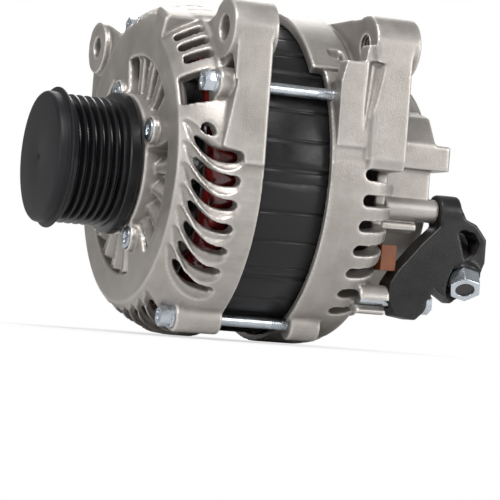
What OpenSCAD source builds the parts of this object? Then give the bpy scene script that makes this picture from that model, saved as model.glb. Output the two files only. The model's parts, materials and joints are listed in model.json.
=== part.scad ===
// Car alternator: two cast brackets clamped on a stator core, a claw-pole rotor with an
// overrunning pulley, and a rectifier, a regulator and brushes under the rear cover.
// +X runs along the rotor shaft to the rear, +Z up between the mounting lugs.
// The origin is on the shaft axis, level with the front face of the near front lug.

/* [Brackets] */
// Outer radius of both cast brackets
case_r = 73; // [66:1:88]
// Wall of the bracket's round side
case_wall = 6.5; // [5:0.5:7.5]
// Rim of the front bracket, measured back from the origin
front_rim_x = 18.5; // [17:0.5:24]
// Depth of the front bracket from its flat face to its rim
front_depth = 34.5; // [33:0.5:42]
// Depth of the rear bracket from its rim to its end wall
rear_depth = 34; // [33:0.5:41]
// Thickness of the bracket's flat end walls
end_wall = 5; // [4:0.5:6]
// Number of fan windows in the front face
window_count = 4; // [4]

/* [Stator] */
// Length of stator core that shows between the brackets
core_show = 30.5; // [26:0.5:37]
// Depth of the register that holds the core in each bracket
register = 3; // [2:0.5:4]
// Air gap between the rotor and the stator
air_gap = 0.4; // [0.3:0.05:0.8]
// Radius of the rotor
rotor_r = 49.6; // [46:0.2:50]
// Radial depth of the core
core_depth = 19.5; // [17:0.5:21]
// Number of winding slots
slot_count = 36; // [24:12:48]

/* [Lugs] */
// Sideways distance of the lug bores from the shaft axis
lug_y = 62; // [56:1:66]
// Height of the lug bores above the shaft axis
lug_z = 57; // [52:1:60]
// Radius of the near lugs
lug_r = 12.75; // [11:0.25:14]
// Radius of the near front lug's bore
lug_bore_r = 5.5; // [4:0.25:7]
// Length of the near front lug
lug_len = 20; // [16:1:24]
// Clear gap between the near front lug and the near rear lug
lug_gap = 45; // [42:1:54]

/* [Shaft and bearings] */
// Radius of the shaft in the front bearing
shaft_r = 8.5; // [7.5:0.5:10]
// Radius of the shaft in the rear bearing
rear_shaft_r = 7.5; // [6.5:0.5:8]
// Outer radius of the front bearing
front_brg_r = 23.5; // [22:0.5:26]
// Width of the front bearing
front_brg_w = 14; // [12:1:14]
// Outer radius of the rear bearing
rear_brg_r = 17.5; // [16:0.5:20]
// Width of the rear bearing
rear_brg_w = 11; // [9:1:12]

/* [Pulley] */
// Radius over the belt ribs
pulley_r = 28; // [25:0.5:34]
// Number of belt grooves
groove_count = 6; // [4:1:6]
// Distance from one belt groove to the next
groove_pitch = 3.56; // [3.56]
// Length of the pulley ring
pulley_len = 30; // [30:1:36]

/* [Through bolts] */
// Radius of the through bolts
bolt_r = 2.5; // [2:0.25:3.5]
// Angle of the first through bolt above the near side
bolt_angle = 27.5; // [20:0.5:30]

/* [Rear end] */
// Radius of the rear cover
cover_r = 51; // [50:0.5:58]
// Length of the rear cover
cover_len = 25; // [24:0.5:32]
// Wall of the rear cover
cover_wall = 3.5; // [2.5:0.5:4]

/* [Hidden] */
fn = 96;
small_fn = 32;

cast_grey = [0.66, 0.64, 0.61];
steel = [0.62, 0.63, 0.65];
zinc = [0.72, 0.74, 0.74];
dark = [0.1, 0.1, 0.1];
plastic = [0.16, 0.16, 0.17];
copper = [0.55, 0.12, 0.1];

// clearances
fit = 0.05;        // beside a part that is clamped or pressed home
core_fit = 0.1;    // round the core in its registers
run = 0.4;         // between parts that turn past each other
slack = 0.25;      // round a bolt in its hole

// stations along the shaft
face_x = front_rim_x - front_depth;
hub_x = face_x - 3.5;
rear_rim_x = front_rim_x + core_show;
end_x = rear_rim_x + rear_depth;
cover_x = end_x + cover_len;
core_x0 = front_rim_x - register;
core_x1 = rear_rim_x + register;
brg_x0 = hub_x + 2.5;
brg_x1 = brg_x0 + front_brg_w;
retainer_t = 2.5;
rear_brg_x0 = end_x - rear_brg_w;
rear_lug_x = lug_len + lug_gap;
rear_lug_len = 21;
pulley_x1 = hub_x - 1;
pulley_x0 = pulley_x1 - pulley_len;

// stator and rotor
core_bore = rotor_r + air_gap;
core_r = core_bore + core_depth;
bolt_ring = core_r + bolt_r + 1;
boss_r = bolt_r + 4;
claw_len = 14;
claw_x0 = core_x0 - 5.5;
claw_x1 = core_x1 + 6;
finger_r = rotor_r - 11.3;
disc_t = 1.5;
front_blade_h = 8;
rear_blade_h = 12;
blade_len = 8;
fan_r = 46;
slot_angle = 360 / slot_count;
turn_len = 17;     // how far the end turns stand out of the core

// front face
hub_r = 31;
window_r = 48;
window_angle = 33;
screw_ring = 35;
screw_r = 2.5;
screw_head_r = 4.6;
screw_angle = 23;
screw_seat_x = hub_x + 2;
window_a = screw_angle + 45;
flat_r = case_r - 12;
rib_t = 2.6;
gill_w = 4.6;
gill_step = 8.2;
rear_gill_w = 5;

// rear end
slip_r = 8;
slip_w = 7;
slip_x0 = end_x + 3;
slip_x1 = slip_x0 + slip_w + 1.5;
brush_w = 5;
brush_z = slip_r + 0.3;
brush_len = 15;
spring_len = 11;
spring_r = 2;
holder_top = brush_z + brush_len + spring_len;
sink_x = end_x;
sink_t = 3;
socket_x = end_x + 8;
boss_y = -52;
boss_z = -10.5;
foot_y = -53;
foot_z = -51;
lug_x0 = cover_x + 1;

// stud in the support bracket: from its nut face, back, up and away
stud_tip = [122.7 - 108 + cover_x, -60, -44];
stud_turn = -39;
stud_lean = 13;
stud_len = 31;
stud_r = 4;

// ---------- helpers ----------

// solid of revolution about X from [radius, x] points
module turned(points) {
    rotate([0, 90, 0]) rotate_extrude($fn = fn) polygon(points);
}

// the same, from angle a0 to a1 (0 is the near side, 90 the top)
module turned_arc(points, a0, a1) {
    rotate([0, 90, 0]) rotate([0, 0, -90 - a1])
        rotate_extrude(angle = a1 - a0, $fn = fn) polygon(points);
}

module rod_x(x0, x1, r, y = 0, z = 0, sides = fn) {
    translate([x0, y, z]) rotate([0, 90, 0]) cylinder(h = x1 - x0, r = r, $fn = sides);
}

module tube_x(x0, x1, r0, r1) {
    turned([[r0, x0], [r1, x0], [r1, x1], [r0, x1]]);
}

// turns what stands on the near side round the shaft
module at_angle(a) {
    rotate([-a, 0, 0]) children();
}

// prism along X from [y, z] points
module slab_x(x0, x1, points) {
    translate([x0, 0, 0]) rotate([90, 0, 90]) linear_extrude(x1 - x0) polygon(points);
}

// prism along Y from [x, z] points
module slab_y(y0, y1, points) {
    translate([0, y1, 0]) rotate([90, 0, 0]) linear_extrude(y1 - y0) polygon(points);
}

// corner points of an arc about a centre
function arc(c, r, a0, a1, steps) =
    [for (i = [0:steps]) let (a = a0 + (a1 - a0) * i / steps) [c[0] + r * cos(a), c[1] + r * sin(a)]];

// outline of a slot along X with round ends
function slot_outline(x0, x1, w) = concat(
    arc([x1 - w / 2, 0], w / 2, -90, 90, 5), arc([x0 + w / 2, 0], w / 2, 90, 270, 5));

// cuts a slot through the near wall, between two radii
module slot_cut(x0, x1, w, r0, r1) {
    translate([0, -r0, 0]) rotate([90, 0, 0])
        linear_extrude(r1 - r0) polygon(slot_outline(x0, x1, w));
}

module bearing_ring_outer(x0, w, r, pitch, ball, groove) {
    difference() {
        tube_x(x0, x0 + w, pitch + ball * 0.75, r);
        rotate([0, 90, 0]) translate([0, 0, x0 + w / 2])
            rotate_extrude($fn = fn) translate([pitch, 0]) circle(r = groove, $fn = small_fn);
    }
}

module bearing_ring_inner(x0, w, r, pitch, ball, groove) {
    difference() {
        tube_x(x0, x0 + w, r, pitch - ball * 0.75);
        rotate([0, 90, 0]) translate([0, 0, x0 + w / 2])
            rotate_extrude($fn = fn) translate([pitch, 0]) circle(r = groove, $fn = small_fn);
    }
}

module bearing_balls(x, pitch, ball, count) {
    for (i = [0:count - 1]) at_angle(i * 360 / count)
        translate([x, -pitch, 0]) sphere(r = ball, $fn = small_fn);
}

module bearing_cage(x, pitch, ball, count) {
    difference() {
        tube_x(x - ball * 0.7, x + ball + 1.4, pitch - 1.3, pitch + 1.3);
        for (i = [0:count - 1]) at_angle(i * 360 / count)
            translate([x, -pitch - 3, 0]) rotate([-90, 0, 0])
                cylinder(h = 6, r = ball + 0.25, $fn = small_fn);
    }
}

module bearing_seals(x0, w, pitch, ball) {
    for (x = [x0, x0 + w - 0.8])
        tube_x(x, x + 0.8, pitch - ball * 0.75 + run, pitch + ball * 0.75);
}

// ---------- housing ----------

// shoulder of a bracket, from the flat end out to the round side
function shoulder(x_flat, x_side, r_flat, r_side, steps) =
    [for (i = [0:steps]) let (a = 90 * i / steps)
        [r_flat + (r_side - r_flat) * sin(a), x_side + (x_flat - x_side) * cos(a)]];

function backwards(list) = [for (i = [len(list) - 1:-1:0]) list[i]];

module lug_web(x0, x1, side, r, foot, inner) {
    slab_x(x0, x1, [
        [side * (lug_y + r), lug_z],
        [side * (lug_y + r), foot + 8],
        [side * (case_r - 0.6), foot],
        [side * (case_r - 15), foot],
        [side * inner, 46],
        [side * (case_r * 0.52), sqrt(case_r * case_r - pow(case_r * 0.52, 2)) - 0.5],
        [side * (lug_y - r * 0.26), lug_z + r * 0.966]]);
}

module front_bracket() color(cast_grey) {
    side_x = face_x + 21;
    difference() {
        union() {
            turned(concat([[0, hub_x], [hub_r + 1, hub_x], [hub_r + 3, face_x]],
                shoulder(face_x, side_x, flat_r, case_r, 6),
                [[case_r, front_rim_x], [0, front_rim_x]]));
            for (k = [0:3]) {
                at_angle(bolt_angle + 90 * k) rod_x(face_x + 13, front_rim_x - 0.4, boss_r, -bolt_ring);
                at_angle(screw_angle + 90 * k) rod_x(hub_x, face_x + 1, screw_head_r + 1.4, -screw_ring);
            }
            rod_x(0, lug_len, lug_r, -lug_y, lug_z);
            lug_web(2, front_rim_x - 1, -1, lug_r, 0, 28);
            rod_x(face_x + 2, 8, lug_r - 0.75, lug_y, lug_z);
            lug_web(face_x + 5, 6, 1, lug_r - 0.75, 22, 28);
        }
        // bearing seat and the way through for the shaft
        rod_x(brg_x0, front_rim_x + 1, front_brg_r);
        rod_x(hub_x - 1, brg_x0 + 1, shaft_r + 5);
        // inside of the casing
        turned(concat([[0, brg_x1], [screw_ring + 4.5, brg_x1], [screw_ring + 4.5, face_x + end_wall]],
            shoulder(face_x + end_wall, side_x + 2, flat_r - end_wall, case_r - case_wall - 0.5, 5),
            [[case_r - case_wall - 0.5, front_rim_x + 1], [0, front_rim_x + 1]]));
        rod_x(core_x0, front_rim_x + 1, core_r + core_fit);
        for (k = [0:3]) {
            turned_arc([[hub_r, hub_x - 5], [window_r, hub_x - 5], [window_r, brg_x1 + 3],
                [hub_r, brg_x1 + 3]], window_a + 90 * k - window_angle, window_a + 90 * k + window_angle);
            at_angle(screw_angle + 90 * k) {
                rod_x(hub_x - 1, brg_x1 + 1, screw_r + slack, -screw_ring);
                rod_x(hub_x - 1, screw_seat_x, screw_head_r + 0.4, -screw_ring);
            }
            at_angle(bolt_angle + 90 * k)
                rod_x(face_x + 12, front_rim_x + 1, bolt_r + slack, -bolt_ring);
            at_angle(bolt_angle + 90 * k) rod_x(face_x - 1, face_x + 13, bolt_r + 3.4, -bolt_ring);
        }
        for (a = concat([for (i = [0:6]) 1.3 - gill_step * i], [for (i = [0:7]) -75 - gill_step * i],
            [for (i = [0:4]) 158 + gill_step * i], [for (i = [0:5]) 61 + gill_step * i]))
            at_angle(a) slot_cut(face_x + 6.5, face_x + 25, gill_w, flat_r - 8, case_r + 8);
        rod_x(-1, lug_len + 1, lug_bore_r, -lug_y, lug_z);
        rod_x(face_x + 1, 9, lug_bore_r - 0.75, lug_y, lug_z);
    }
    // set-back ribs across the fan windows
    for (k = [0:window_count - 1], i = [-1:1]) at_angle(window_a + 90 * k + 16.5 * i)
        translate([face_x + 2, -window_r - 0.6, -rib_t / 2]) cube([5, window_r - hub_r + 1.2, rib_t]);
}

module rear_casting() {
    side_x = rear_rim_x + 19;
    difference() {
        union() {
            turned(concat([[0, rear_rim_x], [case_r, rear_rim_x]],
                backwards(shoulder(end_x, side_x, flat_r, case_r, 6)),
                [[0, end_x]]));
            turned_arc([[core_r - 2, rear_rim_x - 6], [case_r + 1.5, rear_rim_x - 6],
                [case_r + 1.5, rear_rim_x + 13], [core_r - 2, rear_rim_x + 13]], 38, 150);
            for (k = [0:3]) at_angle(bolt_angle + 90 * k)
                rod_x(rear_rim_x + 1, rear_rim_x + 15, boss_r, -bolt_ring);
            rod_x(rear_lug_x, rear_lug_x + rear_lug_len, lug_r + 0.25, -lug_y, lug_z);
            lug_web(rear_lug_x + 1, end_x - 0.6, -1, lug_r + 0.25, 0, 28);
            rod_x(rear_lug_x, rear_lug_x + rear_lug_len - 6, lug_r - 0.75, lug_y, lug_z);
            lug_web(rear_lug_x + 1, rear_lug_x + 13, 1, lug_r - 0.75, 22, 28);
            // web between the two lugs
            slab_x(rear_lug_x, rear_lug_x + 5, [[-lug_y, lug_z], [-lug_y + 4, lug_z + 12], [-25, case_r - 3],
                [25, case_r - 3], [lug_y - 4, lug_z + 11.5], [lug_y, lug_z], [30, 50], [-30, 50]]);
        }
        // inside of the casing
        turned(concat([[rear_brg_r + 7, end_x - end_wall]],
            shoulder(end_x - end_wall, side_x, flat_r - 6, case_r - case_wall - 0.5, 5),
            [[case_r - case_wall - 0.5, rear_rim_x - 7], [0, rear_rim_x - 7], [0, rear_brg_x0 - 2],
                [rear_brg_r + 7, rear_brg_x0 - 2]]));
        rod_x(rear_rim_x - 7, core_x1, core_r + core_fit);
        for (a = concat([for (i = [0:6]) 1 - 8.8 * i], [for (i = [0:7]) -76 - 8.8 * i],
            [for (i = [0:4]) 158 + 8.8 * i]))
            at_angle(a) slot_cut(rear_rim_x + 16, end_x + 6, rear_gill_w, flat_r - 4, case_r + 8);
        for (i = [0:4]) at_angle(62 + 10 * i)
            slot_cut(rear_lug_x + 6, end_x + 6, rear_gill_w, flat_r - 4, case_r + 8);
        // air inlets round the rear bearing
        for (a = [182, 250, 318]) turned_arc([[30, end_x - 8], [44, end_x - 8], [44, end_x + 1],
            [30, end_x + 1]], a - 26, a + 26);
    }
    // bosses for the cover screws, and for the foot of the support bracket
    for (a = cover_screw_angles) at_angle(a)
        rod_x(end_x - 8, end_x - 1, 4.5, -cover_screw_ring, 0, small_fn);
    difference() {
        rod_x(end_x - 10, end_x + 4, 6.5, foot_y, foot_z, small_fn);
        rod_x(end_x - 11, end_x - 2, flat_r);
    }
}

module rear_bracket() color(cast_grey) difference() {
    rear_casting();
    rod_x(rear_brg_x0 - 3, end_x + 1, rear_brg_r + 2);
    for (k = [0:3]) at_angle(bolt_angle + 90 * k)
        rod_x(rear_rim_x - 7, rear_rim_x + 13, bolt_r + fit, -bolt_ring);
    for (a = sink_screw_angles) at_angle(a)
        rod_x(end_x - 8, end_x + 1, 1.8 + fit, -diode_ring - 2, 0, small_fn);
    for (a = cover_screw_angles) at_angle(a)
        rod_x(end_x - 9, end_x + 1, 2 + fit, -cover_screw_ring, 0, small_fn);
    rod_x(end_x - 11, end_x + 5, 2.5 + fit, foot_y, foot_z, small_fn);
    rod_x(rear_lug_x - 1, rear_lug_x + rear_lug_len + 1, 5, -lug_y, lug_z);
    rod_x(rear_lug_x - 1, rear_lug_x + rear_lug_len + 1, 4.25, lug_y, lug_z);
}

module stator_core() color(dark) difference() {
    tube_x(core_x0, core_x1, core_bore, core_r);
    for (i = [0:slot_count - 1]) at_angle(i * slot_angle)
        translate([core_x0 - 1, -core_bore - 11, -1.7]) cube([core_x1 - core_x0 + 2, 13, 3.4]);
}

module stator_winding() color(copper) {
    for (i = [0:slot_count - 1]) at_angle(i * slot_angle)
        translate([core_x0 - 1, -core_bore - 10.8, -1.6]) cube([core_x1 - core_x0 + 2, 10, 3.2]);
    in_r = core_bore + 1.5;
    out_r = core_bore + 12.8;
    turned([[in_r, core_x0], [out_r, core_x0], [out_r, core_x0 - turn_len + 4],
        [out_r - 4, core_x0 - turn_len], [in_r + 2, core_x0 - turn_len], [in_r, core_x0 - turn_len + 3]]);
    turned([[in_r, core_x1], [out_r, core_x1], [out_r, core_x1 + turn_len - 4],
        [out_r - 4, core_x1 + turn_len], [in_r + 2, core_x1 + turn_len], [in_r, core_x1 + turn_len - 3]]);
}

module through_bolts() color(zinc) for (k = [0:3]) at_angle(bolt_angle + 90 * k) {
    rod_x(face_x + 13, rear_rim_x + 11, bolt_r, -bolt_ring, 0, small_fn);
    rod_x(face_x + 11.5, face_x + 13, bolt_r + 2.6, -bolt_ring, 0, small_fn);
    rod_x(face_x + 7, face_x + 12, bolt_r + 2.1, -bolt_ring, 0, 6);
}

module bearing_retainer() color(steel) difference() {
    union() {
        tube_x(brg_x1, brg_x1 + retainer_t, front_brg_r - 4, hub_r);
        for (k = [0:3]) at_angle(screw_angle + 90 * k)
            rod_x(brg_x1, brg_x1 + retainer_t, 6, -screw_ring, 0, small_fn);
    }
    for (k = [0:3]) at_angle(screw_angle + 90 * k)
        rod_x(brg_x1 - 1, brg_x1 + retainer_t + 1, screw_r + fit, -screw_ring, 0, small_fn);
    rod_x(brg_x1 - 1, brg_x1 + retainer_t + 1, front_brg_r - 4);
}

module retainer_screws() color(zinc) for (k = [0:3]) at_angle(screw_angle + 90 * k) {
    rod_x(screw_seat_x - 2.2, screw_seat_x, screw_head_r, -screw_ring, 0, small_fn);
    rod_x(screw_seat_x, brg_x1 + retainer_t + 1, screw_r, -screw_ring, 0, small_fn);
}

front_pitch = (front_brg_r + shaft_r) / 2;
front_ball = 3.7;
rear_pitch = (rear_brg_r + rear_shaft_r) / 2;
rear_ball = 2.6;

module front_bearing_outer() color(steel)
    bearing_ring_outer(brg_x0, front_brg_w, front_brg_r, front_pitch, front_ball, front_ball + run);
module front_bearing_inner() color(steel)
    bearing_ring_inner(brg_x0, front_brg_w, shaft_r, front_pitch, front_ball, front_ball + run);
module front_bearing_balls() color(steel)
    bearing_balls(brg_x0 + front_brg_w / 2, front_pitch, front_ball, 8);
module front_bearing_cage() color("peru")
    bearing_cage(brg_x0 + front_brg_w / 2, front_pitch, front_ball, 8);
module front_bearing_seals() color(plastic)
    bearing_seals(brg_x0, front_brg_w, front_pitch, front_ball);

module rear_bearing_outer() color(steel)
    bearing_ring_outer(rear_brg_x0, rear_brg_w, rear_brg_r, rear_pitch, rear_ball, rear_ball + run);
module rear_bearing_inner() color(steel)
    bearing_ring_inner(rear_brg_x0, rear_brg_w, rear_shaft_r, rear_pitch, rear_ball, rear_ball + run);
module rear_bearing_balls() color(steel)
    bearing_balls(rear_brg_x0 + rear_brg_w / 2, rear_pitch, rear_ball, 8);
module rear_bearing_cage() color("peru")
    bearing_cage(rear_brg_x0 + rear_brg_w / 2, rear_pitch, rear_ball, 8);
module rear_bearing_seals() color(plastic)
    bearing_seals(rear_brg_x0, rear_brg_w, rear_pitch, rear_ball);
module rear_bearing_sleeve() color(plastic)
    tube_x(rear_brg_x0, end_x, rear_brg_r, rear_brg_r + 2);

// ---------- rear end ----------

cover_screw_angles = [60, 205, 285];
cover_screw_ring = cover_r + 4;
sink_a0 = 152;
sink_a1 = 396;
diode_angles = [for (i = [0:6]) 165 + 34 * i];
sink_screw_angles = [216, 284, 352];
diode_ring = 36;
stud_a = 182;
stud_ring = 32;
stud_neck = 0.5; // the shank under the nut is this much slimmer than the free end

module rear_cover() color(cast_grey) difference() {
    union() {
        turned([[0, end_x], [cover_r, end_x], [cover_r, cover_x - 4], [cover_r - 1.2, cover_x - 1.2],
            [cover_r - 4, cover_x], [0, cover_x]]);
        slab_x(end_x, cover_x - 3.5, [[-58, 7], [-58, 18], [-50, 30], [-30, 36], [-30, -6], [-55, -6], [-55, 7]]);
        slab_x(end_x, cover_x + 4, [[-58, 7], [-58, 18], [-42, 18], [-42, 7]]);
        rod_x(end_x, cover_x + 1, 5.2, boss_y, boss_z, small_fn);
        slab_x(end_x, cover_x - 8, [[-54, -20], [-54, -17], [-40, -14], [-40, -20]]);
        for (a = cover_screw_angles) at_angle(a) rod_x(end_x, end_x + 8, 5.5, -cover_screw_ring, 0, small_fn);
    }
    rod_x(end_x - 1, cover_x - cover_wall, cover_r - cover_wall);
    rod_x(end_x + 6, cover_x + 2, 3 + fit, boss_y, boss_z, small_fn);
    for (a = cover_screw_angles) at_angle(a)
        rod_x(end_x - 1, end_x + 9, 2 + slack, -cover_screw_ring, 0, small_fn);
    // air inlets in the end wall
    for (k = [0:7], r = [18, 27, 36]) at_angle(45 * k)
        translate([cover_x - cover_wall - 1, -r - 5, -2.2]) cube([cover_wall + 2, 6.5, 4.4]);
    // way out for the output stud and the plug socket
    at_angle(stud_a) rod_x(cover_x - cover_wall - 1, cover_x + 1, 8 + fit, -stud_ring);
    at_angle(180) translate([socket_x - fit, -cover_r - 2, -9 - fit])
        cube([12 + 2 * fit, 14, 18 + 2 * fit]);
}

module cover_screws() color(zinc) for (a = cover_screw_angles) at_angle(a) {
    rod_x(end_x - 6, end_x + 8, 2, -cover_screw_ring, 0, small_fn);
    rod_x(end_x + 8, end_x + 11, 3.8, -cover_screw_ring, 0, 6);
}

module negative_heat_sink() color(cast_grey) difference() {
    turned_arc([[26, sink_x], [46, sink_x], [46, sink_x + sink_t], [26, sink_x + sink_t]], sink_a0, sink_a1);
    for (a = diode_angles) at_angle(a) rod_x(sink_x - 1, sink_x + sink_t + 1, 5 + fit, -diode_ring, 0, small_fn);
    for (a = sink_screw_angles) at_angle(a)
        rod_x(sink_x - 1, sink_x + sink_t + 1, 1.8 + fit, -diode_ring - 2, 0, small_fn);
}

module positive_heat_sink() color(cast_grey) difference() {
    x0 = sink_x + 8;
    turned_arc([[24, x0], [42.5, x0], [42.5, x0 + sink_t], [24, x0 + sink_t]], sink_a0, sink_a1);
    for (a = diode_angles) at_angle(a) rod_x(x0 - 1, x0 + sink_t + 1, 2.4, -diode_ring, 0, small_fn);
    for (a = sink_screw_angles) at_angle(a)
        rod_x(x0 - 1, x0 + sink_t + 1, 1.8 + fit, -diode_ring - 2, 0, small_fn);
    at_angle(stud_a) rod_x(x0 - 1, x0 + sink_t + 1, stud_r + fit, -stud_ring);
}

module diodes() color(steel) for (a = diode_angles) at_angle(a) {
    rod_x(sink_x, sink_x + 6, 5, -diode_ring, 0, small_fn);
    rod_x(sink_x + 6, sink_x + 14, 0.8, -diode_ring, 0, small_fn);
}

module rectifier_spacers() color(plastic) for (a = sink_screw_angles) at_angle(a)
    difference() {
        rod_x(sink_x + sink_t, sink_x + 8, 3.5, -diode_ring - 2, 0, small_fn);
        rod_x(sink_x, sink_x + 9, 1.8 + fit, -diode_ring - 2, 0, small_fn);
    }

module rectifier_screws() color(zinc) for (a = sink_screw_angles) at_angle(a) {
    rod_x(end_x - 4, sink_x + 15, 1.8, -diode_ring - 2, 0, small_fn);
    rod_x(sink_x + 15, sink_x + 17, 3.2, -diode_ring - 2, 0, small_fn);
}

module rectifier_terminals() color(plastic) difference() {
    x0 = sink_x + 8 + sink_t;
    turned_arc([[25, x0], [42.5, x0], [42.5, x0 + 4], [25, x0 + 4]], sink_a0 + 2, sink_a1 - 2);
    for (a = diode_angles) at_angle(a) rod_x(x0 - 1, x0 + 5, 0.8 + fit, -diode_ring, 0, small_fn);
    for (a = sink_screw_angles) at_angle(a)
        rod_x(x0 - 1, x0 + 5, 1.8 + fit, -diode_ring - 2, 0, small_fn);
    at_angle(stud_a) rod_x(x0 - 1, x0 + 5, 6.6, -stud_ring);
}

module output_stud() color(zinc) at_angle(stud_a) {
    rod_x(sink_x + 8, cover_x + 9.5 + stud_neck, stud_r - stud_neck, -stud_ring);
    rod_x(cover_x + 9.5 + stud_neck, cover_x + 16, stud_r, -stud_ring);
    rod_x(sink_x + 8 + sink_t, sink_x + 14, 6.4, -stud_ring, 0, 6);
}
module output_insulator() color(plastic) at_angle(stud_a) difference() {
    union() {
        rod_x(sink_x + 15, cover_x + 1, 8, -stud_ring);
        rod_x(cover_x, cover_x + 3, 10, -stud_ring);
    }
    rod_x(sink_x + 14, cover_x + 4, stud_r + fit, -stud_ring);
}
module output_nut() color(zinc) at_angle(stud_a) difference() {
    rod_x(cover_x + 3, cover_x + 9.5, 7.5, -stud_ring, 0, 6);
    rod_x(cover_x + 2, cover_x + 10, stud_r + fit, -stud_ring);
}

module regulator() color(plastic)
    translate([end_x, 10, 18]) cube([cover_len - 6, 12, 18]);

module brush_holder() color(plastic) difference() {
    translate([end_x, -8, slip_r + 3.5]) cube([2 * slip_w + 6.5, 18, holder_top - slip_r - 1]);
    for (x = [slip_x0, slip_x1]) translate([x + slip_w / 2 - brush_w / 2 - 0.3, -3.8, 0])
        cube([brush_w + 0.6, 7.6, holder_top]);
}

module brush(x) translate([x + slip_w / 2 - brush_w / 2, -3.5, brush_z]) cube([brush_w, 7, brush_len]);
module front_brush() color(dark) brush(slip_x0);
module rear_brush() color(dark) brush(slip_x1);

module brush_spring(x) translate([x + slip_w / 2, 0, brush_z + brush_len]) difference() {
    cylinder(h = spring_len, r = spring_r, $fn = small_fn);
    translate([0, 0, -1]) cylinder(h = spring_len + 2, r = spring_r - 0.5, $fn = small_fn);
}
module front_brush_spring() color(steel) brush_spring(slip_x0);
module rear_brush_spring() color(steel) brush_spring(slip_x1);

module connector_socket() color(plastic) at_angle(180) difference() {
    translate([socket_x, -cover_r - 14, -9]) cube([12, 20.5, 18]);
    translate([socket_x + 2, -cover_r - 15, -7]) cube([8, 13, 14]);
}
module connector_pins() color("goldenrod") at_angle(180) for (i = [-1:1])
    translate([socket_x + 5.6, -cover_r - 10, i * 4 - 0.5]) cube([0.8, 8, 1]);

module on_stud() {
    translate(stud_tip) rotate([0, stud_lean, 0]) rotate([stud_turn, 0, 0]) children();
}

module support_bracket() color(dark) difference() {
    ox = cover_x - 108;
    union() {
        rod_x(lug_x0, lug_x0 + 10, 7.5, boss_y, boss_z);
        slab_y(foot_y - 6, foot_y + 6, [for (p = [[110, -8], [119, -8], [121.9, -13], [127, -14.8],
            [132.3, -21], [132.3, -31], [129, -40], [124, -47.5], [118.5, -50.3], [111.3, -46], [108, -43.2],
            [106.9, -49.4], [104, -55], [100, -58.7], [91, -57.5], [87, -51], [87, -43], [90.5, -37.5],
            [100.8, -25.4], [109.2, -17]]) [p[0] + ox, p[1]]]);
        on_stud() translate([0, 0, 7.5]) cylinder(h = 9, r = 7.5, $fn = small_fn);
    }
    slab_y(foot_y - 7, foot_y + 7, [for (p = [[118.4, -18.6], [121, -17.5], [126.5, -18.8], [129, -23],
        [127.5, -28], [122.5, -31]]) [p[0] + ox, p[1]]]);
    rod_x(lug_x0 - 1, lug_x0 + 11, 3 + slack, boss_y, boss_z);
    rod_x(lug_x0 + 6, lug_x0 + 11, 5.2, boss_y, boss_z);
    rod_x(end_x + 3, end_x + 27, 2.5 + slack, foot_y, foot_z);
    rod_x(end_x + 22, end_x + 27, 6, foot_y, foot_z);
    on_stud() cylinder(h = stud_len + 5, r = stud_r + fit, $fn = fn);
    on_stud() translate([0, 0, -8]) cylinder(h = 15.5, r = 8.6, $fn = small_fn);
}

module support_bolts() color(zinc) {
    rod_x(end_x + 8, lug_x0 + 6, 3, boss_y, boss_z, small_fn);
    rod_x(lug_x0 + 6, lug_x0 + 9.5, 4.9, boss_y, boss_z, 6);
    rod_x(end_x - 8, end_x + 22, 2.5, foot_y, foot_z, small_fn);
    rod_x(end_x + 22, end_x + 25.5, 4.9, foot_y, foot_z, 6);
}

module support_stud() color(plastic)
    on_stud() translate([0, 0, 1]) cylinder(h = stud_len, r = stud_r, $fn = fn);
module support_nut() color(zinc) on_stud() difference() {
    cylinder(h = 7.5, r = 7.5, $fn = 6);
    translate([0, 0, -1]) cylinder(h = 10, r = stud_r + fit, $fn = fn);
}

module lead_block() color("saddlebrown")
    translate([end_x, -56, -38]) cube([7, 12.5, 11]);

// ---------- rotor ----------

module shaft() color(steel) turned([[0, pulley_x0 + 2.5], [shaft_r - 1, pulley_x0 + 2.5],
    [shaft_r, pulley_x0 + 3.5], [shaft_r, claw_x0 - 1], [shaft_r + 1, claw_x0 - 1],
    [shaft_r + 1, claw_x1 + 1], [rear_shaft_r + 1.5, claw_x1 + 1], [rear_shaft_r + 1.5, rear_brg_x0],
    [rear_shaft_r, rear_brg_x0], [rear_shaft_r, end_x], [5, end_x], [5, slip_x1 + slip_w + 1],
    [0, slip_x1 + slip_w + 1]]);

// outline of the gap between two fingers, seen from outside: narrow at their roots
module finger_gap(x0, toward) {
    tip = x0 + toward * (claw_x1 - claw_x0 - 3);
    knee = x0 + toward * (claw_len - 3);
    root_w = rotor_r * 0.205;
    knee_w = rotor_r * 0.24;
    tip_w = rotor_r * 0.4;
    translate([0, -rotor_r - 2, 0]) rotate([-90, 0, 0]) linear_extrude(rotor_r * 0.355 + 2)
        polygon([[x0 - toward, -root_w], [x0 - toward, root_w], [knee, knee_w], [tip + toward, tip_w],
            [tip + toward, -tip_w], [knee, -knee_w]]);
}

// one pole: a disc on the shaft with six tapering fingers round the coil
module claw_pole(x0, toward, first) at_angle(first) difference() {
    bend = x0 + toward * claw_len;
    tip = x0 + toward * (claw_x1 - claw_x0 - 3);
    turned([[shaft_r + 1, x0], [rotor_r, x0], [rotor_r, tip], [finger_r, tip], [finger_r, bend],
        [shaft_r + 1, bend]]);
    for (i = [0:5]) at_angle(30 + i * 60) finger_gap(x0, toward);
}
module front_claw_pole() color(steel) claw_pole(claw_x0, 1, 7);
module rear_claw_pole() color(steel) claw_pole(claw_x1, -1, 37);

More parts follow.
